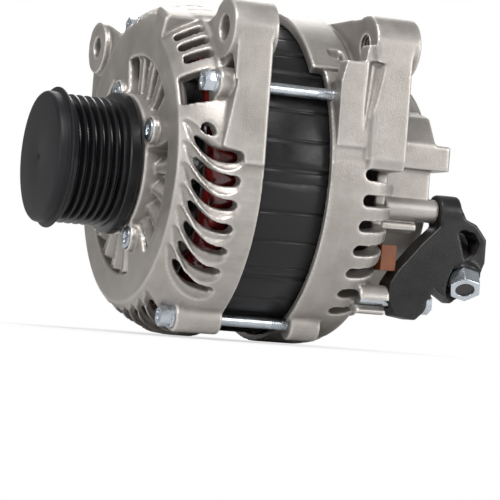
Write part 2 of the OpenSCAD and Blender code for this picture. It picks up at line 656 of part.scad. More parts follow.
module coil_bobbin() color(plastic) turned([[shaft_r + 1, claw_x0 + claw_len],
    [33, claw_x0 + claw_len], [33, claw_x0 + claw_len + 1.5], [shaft_r + 11, claw_x0 + claw_len + 1.5],
    [shaft_r + 11, claw_x1 - claw_len - 1.5], [33, claw_x1 - claw_len - 1.5], [33, claw_x1 - claw_len],
    [shaft_r + 1, claw_x1 - claw_len]]);
module field_coil() color(copper)
    tube_x(claw_x0 + claw_len + 1.5, claw_x1 - claw_len - 1.5, shaft_r + 11, finger_r - 1.8);

module fan(x0, toward, count, blade_h) {
    tube_x(min(x0, x0 + toward * disc_t), max(x0, x0 + toward * disc_t), shaft_r + 1, fan_r);
    blade_x = toward > 0 ? x0 + disc_t - 0.1 : x0 - disc_t - blade_h + 0.1;
    for (i = [0:count - 1]) at_angle(i * 360 / count)
        translate([blade_x, -fan_r, 0]) rotate([25, 0, 0]) cube([blade_h, blade_len, 1.4]);
}
module front_fan() color(steel) fan(claw_x0, -1, 10, front_blade_h);
module rear_fan() color(steel) fan(claw_x1, 1, 12, rear_blade_h);

module slip_rings() color("peru") for (x = [slip_x0, slip_x1]) tube_x(x, x + slip_w, slip_r - 1.5, slip_r);
module slip_ring_sleeve() color(plastic) turned([[5, end_x + 1], [slip_r, end_x + 1],
    [slip_r, slip_x0], [slip_r - 1.5, slip_x0], [slip_r - 1.5, slip_x0 + slip_w], [slip_r, slip_x0 + slip_w],
    [slip_r, slip_x1], [slip_r - 1.5, slip_x1], [slip_r - 1.5, slip_x1 + slip_w], [5, slip_x1 + slip_w]]);

module front_spacer() color(steel) tube_x(pulley_x1 + 0.5, brg_x0, shaft_r, shaft_r + 3.5);

// ---------- pulley ----------

clutch_r = shaft_r + 5.5;
ring_bore = clutch_r + 5;
cap_r = pulley_r + 2.7;

module clutch_hub() color(steel) tube_x(pulley_x0 + 3.5, pulley_x1 + 0.5, shaft_r, clutch_r);

function groove_points() = [for (i = [0:groove_count - 1], p = [[0.5, 0], [1.35, -2.8], [2.2, -2.8], [3.06, 0]])
    [pulley_r + p[1], pulley_x0 + 2 + i * groove_pitch + p[0]]];

module pulley_ring() color(dark) turned(concat([[ring_bore, pulley_x0], [pulley_r, pulley_x0]],
    groove_points(),
    [[pulley_r, pulley_x0 + 2.4 + groove_count * groove_pitch], [pulley_r + 3, pulley_x0 + 24.5],
        [pulley_r + 3, pulley_x1 - 0.8], [pulley_r + 2.2, pulley_x1], [ring_bore, pulley_x1]]));

module clutch_rollers() color(steel) for (i = [0:11]) at_angle(i * 30)
    rod_x(pulley_x0 + 8, pulley_x1 - 8, (ring_bore - clutch_r) / 2 - 0.3, -(ring_bore + clutch_r) / 2, 0,
        small_fn);
module clutch_bushes() color("peru") for (x = [pulley_x0 + 4, pulley_x1 - 7])
    tube_x(x, x + 3, clutch_r + 0.08, ring_bore);

module dust_cap() color(plastic) turned([[0, pulley_x0 - 6.5], [2, pulley_x0 - 6.1], [3, pulley_x0 - 6.5],
    [pulley_r - 0.5, pulley_x0 - 6.5], [pulley_r + 0.5, pulley_x0 - 5.5], [pulley_r + 0.5, pulley_x0 - 1.6],
    [cap_r, pulley_x0 - 1.2], [cap_r, pulley_x0], [ring_bore - fit, pulley_x0],
    [ring_bore - fit, pulley_x0 + 2.5], [ring_bore - 1.5, pulley_x0 + 2.5],
    [ring_bore - 1.5, pulley_x0 - 4.5], [0, pulley_x0 - 4.5]]);

// ---------- drawing ----------

front_bracket();
rear_bracket();
stator_core();
stator_winding();
through_bolts();
bearing_retainer();
retainer_screws();
front_bearing_outer();
front_bearing_seals();
rear_bearing_outer();
rear_bearing_seals();
rear_bearing_sleeve();
rear_cover();
cover_screws();
negative_heat_sink();
positive_heat_sink();
diodes();
rectifier_spacers();
rectifier_screws();
rectifier_terminals();
regulator();
brush_holder();
front_brush_spring();
rear_brush_spring();
connector_socket();
connector_pins();
output_stud();
output_insulator();
output_nut();
support_bracket();
support_bolts();
support_stud();
support_nut();
lead_block();
shaft();
front_claw_pole();
rear_claw_pole();
field_coil();
coil_bobbin();
front_fan();
rear_fan();
slip_rings();
slip_ring_sleeve();
front_bearing_inner();
rear_bearing_inner();
front_spacer();
clutch_hub();
pulley_ring();
dust_cap();
clutch_rollers();
clutch_bushes();
front_bearing_balls();
front_bearing_cage();
rear_bearing_balls();
rear_bearing_cage();
front_brush();
rear_brush();
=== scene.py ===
import json
import math

import bpy
from mathutils import Matrix, Vector


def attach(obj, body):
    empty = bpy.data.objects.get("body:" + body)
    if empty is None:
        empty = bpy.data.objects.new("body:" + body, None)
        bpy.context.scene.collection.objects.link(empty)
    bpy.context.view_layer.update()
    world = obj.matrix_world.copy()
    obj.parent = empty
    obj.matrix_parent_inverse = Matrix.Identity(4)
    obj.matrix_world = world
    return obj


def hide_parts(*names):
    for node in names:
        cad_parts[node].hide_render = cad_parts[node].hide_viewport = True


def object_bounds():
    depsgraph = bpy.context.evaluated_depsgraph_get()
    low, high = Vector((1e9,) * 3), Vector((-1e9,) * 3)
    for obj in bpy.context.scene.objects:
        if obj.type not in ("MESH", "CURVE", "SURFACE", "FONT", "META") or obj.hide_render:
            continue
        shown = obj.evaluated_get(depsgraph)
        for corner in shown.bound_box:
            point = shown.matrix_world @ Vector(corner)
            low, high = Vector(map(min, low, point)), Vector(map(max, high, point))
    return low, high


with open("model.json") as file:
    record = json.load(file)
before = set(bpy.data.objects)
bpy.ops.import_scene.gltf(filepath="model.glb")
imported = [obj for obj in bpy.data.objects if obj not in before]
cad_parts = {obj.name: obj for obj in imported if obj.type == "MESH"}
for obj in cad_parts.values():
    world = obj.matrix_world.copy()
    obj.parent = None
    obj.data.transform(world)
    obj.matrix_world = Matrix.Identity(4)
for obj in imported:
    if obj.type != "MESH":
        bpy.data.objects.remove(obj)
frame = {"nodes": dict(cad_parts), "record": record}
cad_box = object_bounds()
bpy.ops.object.select_all(action="DESELECT")

# Sizes below are in millimetres; the shaft runs along X, the lugs stand up along Z.
MM = 0.001
SHAFT_AXIS = (1, 0, 0)
CASE_R = 73.0
FLAT_R = 61.0
FACE_X = -16.0
FRONT_RIM_X = 18.5
REAR_RIM_X = 49.0
END_X = 83.0
BOLT_RING = 73.0
BOLT_ANGLES = (27.5, 117.5, 207.5, 297.5)
SCREW_RING = 35.0
SCREW_ANGLES = (23.0, 113.0, 203.0, 293.0)
GILL_ANGLES = ([1.3 - 8.2 * i for i in range(7)] + [-75 - 8.2 * i for i in range(8)]
               + [166 + 8.2 * i for i in range(4)] + [80.5 + 8.2 * i for i in range(3)])
REAR_GILL_ANGLES = [1 - 8.8 * i for i in range(7)] + [-76 - 8.8 * i for i in range(8)] + [158 + 8.8 * i for i in range(5)]
PULLEY_X = -50.5
PULLEY_R = 28.0
RIB_PITCH = 3.56
CASTING_VOXEL = 0.7


# ---------- making pieces ----------

def mm(x, y, z):
    return Vector((x, y, z)) * MM


def round_the_shaft(radius, angle, x=0.0):
    """A point at an angle round the shaft: 0 on the near side, 90 on top."""
    a = math.radians(angle)
    return (x, -radius * math.cos(a), radius * math.sin(a))


def edit_mode():
    bpy.ops.object.mode_set(mode="EDIT")


def object_mode():
    bpy.ops.object.mode_set(mode="OBJECT")


def pick(*pieces):
    bpy.ops.object.select_all(action="DESELECT")
    for piece in pieces:
        piece.select_set(True)
    bpy.context.view_layer.objects.active = pieces[0]


def settle(piece, name=None):
    """Leaves a piece at the origin, with its place in its mesh."""
    pick(piece)
    bpy.ops.object.transform_apply(location=True, rotation=True, scale=True)
    if name:
        piece.name = name
        piece.data.name = name
    return piece


def outward(piece):
    pick(piece)
    edit_mode()
    bpy.ops.mesh.select_all(action="SELECT")
    bpy.ops.mesh.remove_doubles(threshold=1e-6)
    bpy.ops.mesh.normals_make_consistent(inside=False)
    object_mode()
    return piece


def drawn(points):
    """A chain of edges through the points, drawn from one vertex; left in edit mode."""
    bpy.ops.object.select_all(action="DESELECT")
    bpy.ops.mesh.primitive_plane_add(size=MM, location=mm(*points[0]))
    edit_mode()
    bpy.ops.mesh.merge(type="CENTER")
    here = points[0]
    for point in points[1:]:
        bpy.ops.mesh.extrude_vertices_move(TRANSFORM_OT_translate={"value": mm(*point) - mm(*here)})
        here = point
    bpy.ops.mesh.select_all(action="SELECT")
    return bpy.context.object


def plate(points, push):
    """A flat outline, filled and pushed out into a solid."""
    piece = drawn(points)
    bpy.ops.mesh.edge_face_add()
    bpy.ops.mesh.extrude_region_move(TRANSFORM_OT_translate={"value": mm(*push)})
    object_mode()
    return outward(settle(piece))


def turned(profile, steps=128):
    """A closed [x, radius] profile, spun all the way round the shaft."""
    piece = drawn([(x, -r, 0) for x, r in list(profile) + [profile[0]]])
    bpy.ops.mesh.remove_doubles(threshold=1e-6)
    bpy.ops.mesh.select_all(action="SELECT")
    bpy.ops.mesh.spin(steps=steps, angle=math.tau, center=(0, 0, 0), axis=SHAFT_AXIS)
    object_mode()
    return outward(settle(piece))


def turned_part(profile, start, end, steps=96):
    """A filled [x, radius] profile, spun from one angle round the shaft to another."""
    piece = drawn([(x, -r, 0) for x, r in profile])
    bpy.ops.mesh.edge_face_add()
    bpy.ops.mesh.spin(steps=steps, angle=math.radians(end - start), center=(0, 0, 0), axis=SHAFT_AXIS)
    object_mode()
    return turn_about_shaft(outward(settle(piece)), start)


def bar(x0, x1, radius, y=0.0, z=0.0, sides=48):
    """A round or many-sided bar along X."""
    bpy.ops.mesh.primitive_cylinder_add(vertices=sides, radius=radius * MM, depth=(x1 - x0) * MM,
                                        location=mm((x0 + x1) / 2, y, z), rotation=(0, math.pi / 2, 0))
    return settle(bpy.context.object)


def tube(points, radii, sides=3):
    """A round tube along a smooth path, with its own radius at each point."""
    curve = bpy.data.curves.new("tube", "CURVE")
    curve.dimensions = "3D"
    line = curve.splines.new("NURBS")
    line.points.add(len(points) - 1)
    for point, place, radius in zip(line.points, points, radii):
        point.co = (*mm(*place), 1)
        point.radius = radius
    line.use_endpoint_u = True
    line.order_u = 3
    line.resolution_u = 5
    curve.bevel_depth = MM
    curve.bevel_resolution = sides
    curve.use_fill_caps = True
    piece = bpy.data.objects.new("tube", curve)
    bpy.context.scene.collection.objects.link(piece)
    pick(piece)
    bpy.ops.object.convert(target="MESH")
    return outward(bpy.context.object)


def turn_about_shaft(piece, angle):
    piece.matrix_world = Matrix.Rotation(-math.radians(angle), 4, "X") @ piece.matrix_world
    return settle(piece)


def copy_of(piece):
    twin = bpy.data.objects.new(piece.name, piece.data.copy())
    bpy.context.scene.collection.objects.link(twin)
    return twin


def joined(pieces, name=None):
    pick(*pieces)
    if len(pieces) > 1:
        bpy.ops.object.join()
    return settle(bpy.context.object, name)


def repeated(piece, angles):
    """Copies of a piece that is drawn at angle 0, one at each angle round the shaft."""
    made = [turn_about_shaft(copy_of(piece), angle) for angle in angles]
    bpy.data.objects.remove(piece)
    return joined(made)


def of_cad(node, name):
    """A merged copy of a CAD node's mesh, to build on."""
    mesh = frame["nodes"][node].data.copy()
    mesh.materials.clear()
    piece = bpy.data.objects.new(name, mesh)
    bpy.context.scene.collection.objects.link(piece)
    pick(piece)
    edit_mode()
    bpy.ops.mesh.select_all(action="SELECT")
    bpy.ops.mesh.remove_doubles(threshold=1e-6)
    object_mode()
    return piece


def worked(piece, kind, **settings):
    """Adds one modifier and applies it."""
    pick(piece)
    modifier = piece.modifiers.new("work", kind)
    for name, value in settings.items():
        setattr(modifier, name, value)
    bpy.ops.object.modifier_apply(modifier=modifier.name)
    return piece


def boolean(piece, other, operation):
    before = len(piece.data.vertices)
    worked(piece, "BOOLEAN", operation=operation, object=other, solver="MANIFOLD")
    if len(piece.data.vertices) in (0, before):
        worked(piece, "BOOLEAN", operation=operation, object=other, solver="EXACT")
    bpy.data.objects.remove(other)
    return piece


def cut(piece, other):
    return boolean(piece, other, "DIFFERENCE")


def add(piece, other):
    return boolean(piece, other, "UNION")


def cast_soft(piece, voxel, rounds=4, most=185000):
    """Rounds every edge a little, as a casting has them."""
    worked(piece, "REMESH", mode="VOXEL", voxel_size=voxel * MM)
    worked(piece, "SMOOTH", factor=0.5, iterations=rounds)
    triangles = 2 * len(piece.data.polygons)
    if triangles > most:
        worked(piece, "DECIMATE", ratio=most / triangles)
    pick(piece)
    bpy.ops.object.shade_smooth()
    return piece


def eased(piece, width, segments=2, angle=30):
    """Bevels every sharp edge and shades the rest smooth."""
    worked(piece, "BEVEL", width=width * MM, segments=segments, limit_method="ANGLE",
           angle_limit=math.radians(angle), use_clamp_overlap=True)
    pick(piece)
    bpy.ops.object.shade_smooth_by_angle(angle=math.radians(angle + 8))
    return piece


def hand_in(piece, body, slot, material, *nodes):
    piece.data.materials.clear()
    piece.data.materials.append(material)
    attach(piece, body)
    if nodes:
        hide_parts(*nodes)
    return piece


# ---------- finishes ----------

def new_group(name, inputs, outputs):
    group = bpy.data.node_groups.new(name, "ShaderNodeTree")
    for socket, value in inputs.items():
        made = group.interface.new_socket(socket, in_out="INPUT", socket_type="NodeSocketFloat")
        made.default_value = value
    for socket in outputs:
        group.interface.new_socket(socket, in_out="OUTPUT", socket_type="NodeSocketFloat")
    into = group.nodes.new("NodeGroupInput")
    out = group.nodes.new("NodeGroupOutput")
    return group, into, out


def noise_in(group, scale, detail, roughness):
    place = group.nodes.new("ShaderNodeTexCoord")
    noise = group.nodes.new("ShaderNodeTexNoise")
    noise.inputs["Scale"].default_value = scale
    noise.inputs["Detail"].default_value = detail
    noise.inputs["Roughness"].default_value = roughness
    group.links.new(place.outputs["Object"], noise.inputs["Vector"])
    return noise


def maths(group, operation, a, b, clamp=False):
    node = group.nodes.new("ShaderNodeMath")
    node.operation = operation
    node.use_clamp = clamp
    for socket, value in zip(node.inputs, (a, b)):
        if isinstance(value, (int, float)):
            socket.default_value = value
        else:
            group.links.new(value, socket)
    return node.outputs[0]


def grain_group():
    """Fine sand grain on broader mottling: Height for a bump, Tone for colour and gloss."""
    group, into, out = new_group("grain", {"Scale": 900.0, "Mottle": 60.0}, ("Height", "Tone"))
    fine = noise_in(group, 900, 4, 0.6)
    group.links.new(into.outputs["Scale"], fine.inputs["Scale"])
    broad = noise_in(group, 60, 3, 0.55)
    group.links.new(into.outputs["Mottle"], broad.inputs["Scale"])
    height = maths(group, "ADD", maths(group, "MULTIPLY", fine.outputs[0], 0.75),
                   maths(group, "MULTIPLY", broad.outputs[0], 0.25))
    tone = maths(group, "ADD", maths(group, "MULTIPLY", fine.outputs[0], 0.35),
                 maths(group, "MULTIPLY", broad.outputs[0], 0.65))
    group.links.new(height, out.inputs["Height"])
    group.links.new(tone, out.inputs["Tone"])
    return group


def edge_highlight_and_hollow_shade_group():
    """Painted highlight, bright on convex edges, and painted shade, dull in hollows."""
    group, into, out = new_group("painted_edge_light", {"Reach": 12.0}, ("Edge", "Hollow"))
    shape = group.nodes.new("ShaderNodeNewGeometry")
    lifted = maths(group, "SUBTRACT", shape.outputs["Pointiness"], 0.5)
    edge = maths(group, "MULTIPLY", lifted, into.outputs["Reach"], clamp=True)
    sunk = maths(group, "MULTIPLY", lifted, -1.0)
    hollow = maths(group, "MULTIPLY", sunk, into.outputs["Reach"], clamp=True)
    group.links.new(edge, out.inputs["Edge"])
    group.links.new(hollow, out.inputs["Hollow"])
    return group


def lines_group():
    """Turned or stacked lines along the shaft."""
    group, into, out = new_group("lines", {"Pitch": 1.0}, ("Height",))
    place = group.nodes.new("ShaderNodeTexCoord")
    split = group.nodes.new("ShaderNodeSeparateXYZ")
    group.links.new(place.outputs["Object"], split.inputs[0])
    turns = maths(group, "DIVIDE", split.outputs["X"], maths(group, "MULTIPLY", into.outputs["Pitch"], MM))
    wave = maths(group, "SINE", maths(group, "MULTIPLY", turns, math.tau), 0.0)
    group.links.new(maths(group, "ADD", maths(group, "MULTIPLY", wave, 0.5), 0.5), out.inputs["Height"])
    return group


GRAIN = grain_group()
PAINTED_EDGE_LIGHT = edge_highlight_and_hollow_shade_group()
LINES = lines_group()


def mixed(tree, factor, a, b):
    node = tree.nodes.new("ShaderNodeMix")
    node.data_type = "RGBA"
    tree.links.new(factor, node.inputs["Factor"])
    sockets = [s for s in node.inputs if s.type == "RGBA"]
    for socket, value in zip(sockets, (a, b)):
        if isinstance(value, tuple):
            socket.default_value = (*value, 1)
        else:
            tree.links.new(value, socket)
    return [s for s in node.outputs if s.type == "RGBA"][0]


def finish(name, light, dark, roughness, spread, metallic, grain=900.0, mottle=60.0, depth=0.15,
           edge=None, hollow=None, reach=12.0, pitch=None, line_depth=0.3, coat=0.0, specular=0.5):
    """One material: mottled colour, grain in its bump, gloss that varies, and painted highlights on convex edges with
    painted shade in hollows.
    """
    material = bpy.data.materials.new(name)
    material.use_nodes = True
    tree = material.node_tree
    shader = tree.nodes["Principled BSDF"]
    shader.inputs["Metallic"].default_value = metallic
    shader.inputs["Coat Weight"].default_value = coat
    shader.inputs["Coat Roughness"].default_value = 0.15
    shader.inputs["Specular IOR Level"].default_value = specular
    grains = tree.nodes.new("ShaderNodeGroup")
    grains.node_tree = GRAIN
    grains.inputs["Scale"].default_value = grain
    grains.inputs["Mottle"].default_value = mottle
    tone = tree.nodes.new("ShaderNodeMapRange")
    tone.inputs["From Min"].default_value = 0.35
    tone.inputs["From Max"].default_value = 0.65
    tree.links.new(grains.outputs["Tone"], tone.inputs["Value"])
    colour = mixed(tree, tone.outputs["Result"], dark, light)
    # painted highlight on convex edges and painted shade in hollows, mixed over the colour
    if edge or hollow:
        painted_light = tree.nodes.new("ShaderNodeGroup")
        painted_light.node_tree = PAINTED_EDGE_LIGHT
        painted_light.inputs["Reach"].default_value = reach
        if hollow:
            colour = mixed(tree, painted_light.outputs["Hollow"], colour, hollow)
        if edge:
            colour = mixed(tree, painted_light.outputs["Edge"], colour, edge)
    tree.links.new(colour, shader.inputs["Base Color"])
    gloss = tree.nodes.new("ShaderNodeMapRange")
    gloss.inputs["From Min"].default_value = 0.3
    gloss.inputs["From Max"].default_value = 0.7
    gloss.inputs["To Min"].default_value = roughness - spread
    gloss.inputs["To Max"].default_value = roughness + spread
    tree.links.new(grains.outputs["Tone"], gloss.inputs["Value"])
    tree.links.new(gloss.outputs["Result"], shader.inputs["Roughness"])
    bump = tree.nodes.new("ShaderNodeBump")
    bump.inputs["Strength"].default_value = depth
    bump.inputs["Distance"].default_value = 0.25 * MM
    tree.links.new(grains.outputs["Height"], bump.inputs["Height"])
    last = bump
    if pitch:
        lines = tree.nodes.new("ShaderNodeGroup")
        lines.node_tree = LINES
        lines.inputs["Pitch"].default_value = pitch
        last = tree.nodes.new("ShaderNodeBump")
        last.inputs["Strength"].default_value = line_depth
        last.inputs["Distance"].default_value = 0.1 * MM
        tree.links.new(lines.outputs["Height"], last.inputs["Height"])
        tree.links.new(bump.outputs["Normal"], last.inputs["Normal"])
    tree.links.new(last.outputs["Normal"], shader.inputs["Normal"])
    return material


# The edge colour here is a painted highlight on convex edges; the hollow colour is painted shade in hollows.
CAST = finish("cast_aluminium", (0.385, 0.36, 0.335), (0.29, 0.268, 0.245), 0.42, 0.07, 0.7, grain=1500,
              mottle=90, depth=0.5, edge=(0.85, 0.82, 0.78), hollow=(0.085, 0.075, 0.065), reach=10)
PLAIN = finish("plain_aluminium", (0.5, 0.48, 0.46), (0.42, 0.4, 0.38), 0.4, 0.05, 0.8, grain=1200, depth=0.1)
CORE = finish("core_black", (0.0085, 0.0075, 0.008), (0.004, 0.004, 0.0045), 0.42, 0.1, 0.0, grain=500,
              mottle=120, depth=0.25, specular=0.35)
WINDING = finish("winding_red", (0.22, 0.014, 0.012), (0.03, 0.003, 0.003), 0.22, 0.06, 0.0, grain=260,
                 mottle=320, depth=0.05, coat=0.6)
ZINC = finish("zinc_steel", (0.56, 0.60, 0.64), (0.42, 0.46, 0.5), 0.3, 0.08, 0.95, grain=700, mottle=150,
              depth=0.08)
STEEL = finish("steel", (0.5, 0.5, 0.51), (0.4, 0.4, 0.41), 0.28, 0.05, 1.0, grain=600, depth=0.05,
               pitch=0.4, line_depth=0.06)
POLE = finish("pole_steel", (0.2, 0.195, 0.19), (0.12, 0.115, 0.11), 0.5, 0.08, 0.7, grain=500, depth=0.2)
PULLEY = finish("pulley_black", (0.007, 0.007, 0.008), (0.004, 0.004, 0.005), 0.3, 0.05, 0.0, grain=900,
                depth=0.05, specular=0.35)
CAP = finish("cap_plastic", (0.013, 0.013, 0.015), (0.009, 0.009, 0.0105), 0.5, 0.06, 0.0, grain=1200,
             depth=0.08, specular=0.25)
PLASTIC = finish("black_plastic", (0.02, 0.02, 0.021), (0.013, 0.013, 0.014), 0.45, 0.05, 0.0, depth=0.08)
# The edge colour here is a painted highlight on the convex edges of the black casting.
BLACK_CAST = finish("black_casting", (0.0105, 0.0095, 0.0097), (0.005, 0.0045, 0.0046), 0.36, 0.08, 0.0,
                    grain=1100, mottle=110, depth=0.4, edge=(0.05, 0.045, 0.043), reach=7, specular=0.35)
RESIN = finish("brown_resin", (0.21, 0.062, 0.016), (0.12, 0.034, 0.01), 0.35, 0.06, 0.0, grain=400,
               depth=0.08, coat=0.3)
SEAL = finish("seal_rubber", (0.03, 0.03, 0.032), (0.02, 0.02, 0.022), 0.6, 0.05, 0.0, depth=0.05)
BRASS = finish("brass", (0.6, 0.4, 0.16), (0.5, 0.32, 0.12), 0.3, 0.05, 1.0, grain=500, depth=0.05)
CARBON = finish("carbon", (0.03, 0.03, 0.03), (0.016, 0.016, 0.016), 0.55, 0.05, 0.2, grain=1500, depth=0.2)
FINISHES = {"cast_aluminium": CAST, "plain_aluminium": PLAIN, "core_black": CORE, "winding_red": WINDING,
            "zinc_steel": ZINC, "steel": STEEL, "pole_steel": POLE, "pulley_black": PULLEY,
            "cap_plastic": CAP, "black_plastic": PLASTIC, "black_casting": BLACK_CAST,
            "brown_resin": RESIN, "seal_rubber": SEAL, "brass": BRASS, "carbon": CARBON}


def dress_cad_nodes():
    """Gives every CAD node that stays in sight the finish of its slot."""
    for row in frame["record"]["subparts"]:
        node = frame["nodes"][row["node"]]
        node.data.materials.clear()
        node.data.materials.append(FINISHES[row["material_slot"]])


dress_cad_nodes()


# ---------- pulley ----------

def make_pulley():
    x = PULLEY_X
    profile = [(x, 19), (x, PULLEY_R - 0.4), (x + 0.4, PULLEY_R), (x + 2.3, PULLEY_R)]
    for rib in range(6):
        start = x + 2 + rib * RIB_PITCH
        profile += [(start + 0.62, PULLEY_R - 0.3), (start + 1.45, PULLEY_R - 2.7), (start + 1.78, PULLEY_R - 2.85),
                    (start + 2.1, PULLEY_R - 2.7), (start + 2.94, PULLEY_R - 0.3), (start + 3.2, PULLEY_R),
                    (start + 3.56 + 0.3, PULLEY_R)]
    profile += [(x + 24.1, PULLEY_R), (x + 24.8, PULLEY_R + 2.5), (x + 25.3, PULLEY_R + 3),
                (x + 29, PULLEY_R + 3), (x + 29.8, PULLEY_R + 2.4), (x + 30, PULLEY_R + 1.6), (x + 30, 19)]
    ring = turned(profile)
    ring.name = "ribbed_pulley"
    pick(ring)
    bpy.ops.object.shade_smooth_by_angle(angle=math.radians(25))
    hand_in(ring, "pulley", "pulley_black", PULLEY, "pulley_ring")


def make_cap():
    x = PULLEY_X - 6.5
    r = PULLEY_R
    profile = [(x + 0.9, 0), (x + 0.8, 0.9), (x + 0.15, 1.9), (x, 2.4), (x, r - 1.4), (x + 0.3, r - 0.4),
               (x + 1.0, r + 0.25), (x + 1.8, r + 0.5),
               (x + 4.8, r + 0.5), (x + 5.1, r + 0.7), (x + 5.3, r + 2.2), (x + 5.6, r + 2.6), (x + 6.1, r + 2.6),
               (x + 6.5, r + 2.2), (x + 6.5, 18.9), (x + 9, 18.9), (x + 9, 17.5), (x + 3, 17.5), (x + 3, 0)]
    cap = turned(profile)
    cap.name = "pulley_cap"
    pick(cap)
    bpy.ops.object.shade_smooth_by_angle(angle=math.radians(32))
    hand_in(cap, "pulley", "cap_plastic", CAP, "dust_cap")


make_pulley()
make_cap()


# ---------- front bracket ----------

def shoulder(x_flat, x_side, r_flat, r_side, steps=10):
    points = []
    for i in range(steps + 1):
        a = math.radians(90 * i / steps)
        points.append((x_side + (x_flat - x_side) * math.cos(a), r_flat + (r_side - r_flat) * math.sin(a)))
    return points


# Outlines of the side gills, from the near side: along the shaft, and round it at the gill's rear end.
GILL_HOLE = [(-10.4, 10.2), (-9.2, 5.9), (-6.9, 2.7), (-3.5, 0.1), (-0.4, -1.0), (3.4, -1.3), (6.8, -1.0),
             (8.3, 0.0), (8.7, 1.5), (7.9, 3.1), (6.1, 3.7), (2.8, 3.8), (-0.9, 4.3), (-3.9, 5.6), (-6.9, 8.1)]
GILL_PATH = ((-14.2, 14.4, 62.8, 0.9), (-13.0, 12.4, 64.8, 2.3), (-11.4, 8.9, 66.9, 3.7), (-9.2, 5.2, 68.9, 4.6),
             (-6.2, 2.2, 71.1, 5.1), (-2.6, 0.2, 73.1, 5.2), (1.0, -0.5, 74.5, 5.2), (4.0, -0.4, 75.1, 5.0),
             (6.6, -0.3, 74.7, 4.2), (8.2, -0.2, 74.2, 2.9), (8.8, -0.2, 74.2, 1.4))


def gill_scoop(shrink=1.0):
    points = [round_the_shaft(r, angle, x) for x, angle, r, _ in GILL_PATH]
    return tube(points, [size * shrink for *_, size in GILL_PATH])


def gill_hole():
    return plate([(x, -57, z) for x, z in GILL_HOLE], (0, -24, 0))


def make_front_bracket():
    casting = of_cad("front_bracket", "front_bracket_casting")
    outer = [(x, r - 0.3) for x, r in shoulder(FACE_X, 5, FLAT_R, CASE_R)]
    inner = [(x, r + 0.3) for x, r in shoulder(FACE_X + 5, 7, FLAT_R - 5, CASE_R - 7)]
    add(casting, turned(outer + [(12, CASE_R - 0.3), (12, CASE_R - 6.7)] + inner[::-1]))
    # the side slopes in from the flat face with an edge between them
    slope = [(-16.4, 60.6), (-15.6, 61.2), (-12.5, 64.5), (-9.5, 66.7), (-6.5, 68.6), (-3.0, 70.5), (0.5, 71.9),
             (4.0, 72.8), (7.5, 73.0)]
    cut(casting, turned_part(slope + [(7.5, 82), (-16.4, 82)], 172, 394, 128))
    cut(casting, turned_part(slope[:6] + [(-0.6, 71.5), (-0.6, 76), (-16.4, 76)], 33, 61, 24))
    # flat land on top, that the face runs out to
    add(casting, turned_part([(-16, 57), (-16, 70.2), (-14.8, 71.9), (4.5, 71.9), (4.5, 64), (-9, 58)], 61, 72, 12))
    for angle in (27.5, 207.5, 297.5):
        y, z = round_the_shaft(BOLT_RING, angle)[1:]
        add(casting, bar(-3, 9, 6.5, y, z))
    add(casting, plate([(x, -74.7, z) for x, z in ((9.5, 50), (4.1, 38.7), (1.8, 25), (0.0, 14), (-1.7, 4.0),
                                                  (0.5, 0.5), (18, 0.2), (18, 50))], (0, 9, 0)))
    # scooped gills, then the way through each
    cut(casting, repeated(gill_scoop(), GILL_ANGLES))
    cut(casting, repeated(gill_hole(), GILL_ANGLES))
    short = [(-8.2, 3.8), (-7.6, 6.0), (-5.6, 6.6), (-3.2, 4.6), (-2.4, 2.0), (-3.6, 0.2), (-6.6, 1.6)]
    cut(casting, turn_about_shaft(plate([(x, -57, z) for x, z in short], (0, -24, 0)), 8.6))
    # three long slots under the top land
    for angle, start in ((41.4, -11.8), (48.2, -12.2), (55.2, -12.4)):
        slot = [(start, -1.6), (start + 1.2, -2.3), (-1.5, -2.3), (-0.6, -1.5), (-0.6, 1.9), (-1.5, 2.6),
                (start + 1.2, 2.6), (start, 1.6)]
        cut(casting, turn_about_shaft(plate([(x, -56, z) for x, z in slot], (0, -24, 0)), angle))
    # open pocket before the near bolt, with its three steps
    pocket = [(-16.4, 61.6), (-14.1, 61.6), (-14.1, 60.1), (-11.8, 60.1), (-11.8, 58.6), (-9.2, 58.6), (-9.2, 50),
              (-3.1, 50), (-3.1, 80), (-16.4, 80)]
    cut(casting, turned_part(pocket, 21.8, 34.5, 16))
    # slanted vanes across the fan windows
    for quarter in range(4):
        for step in (-25, -8.5, 8.5, 25):
            vane = [(-14.8, -3.2), (-13.5, -4.6), (-6.6, 1.8), (-7.9, 3.2)]
            add(casting, turn_about_shaft(plate([(x, -30.4, z) for x, z in vane], (0, -18.4, 0)),
                                          68 + 90 * quarter + step))
    cast_soft(casting, CASTING_VOXEL)
    hand_in(casting, "housing", "cast_aluminium", CAST, "front_bracket")


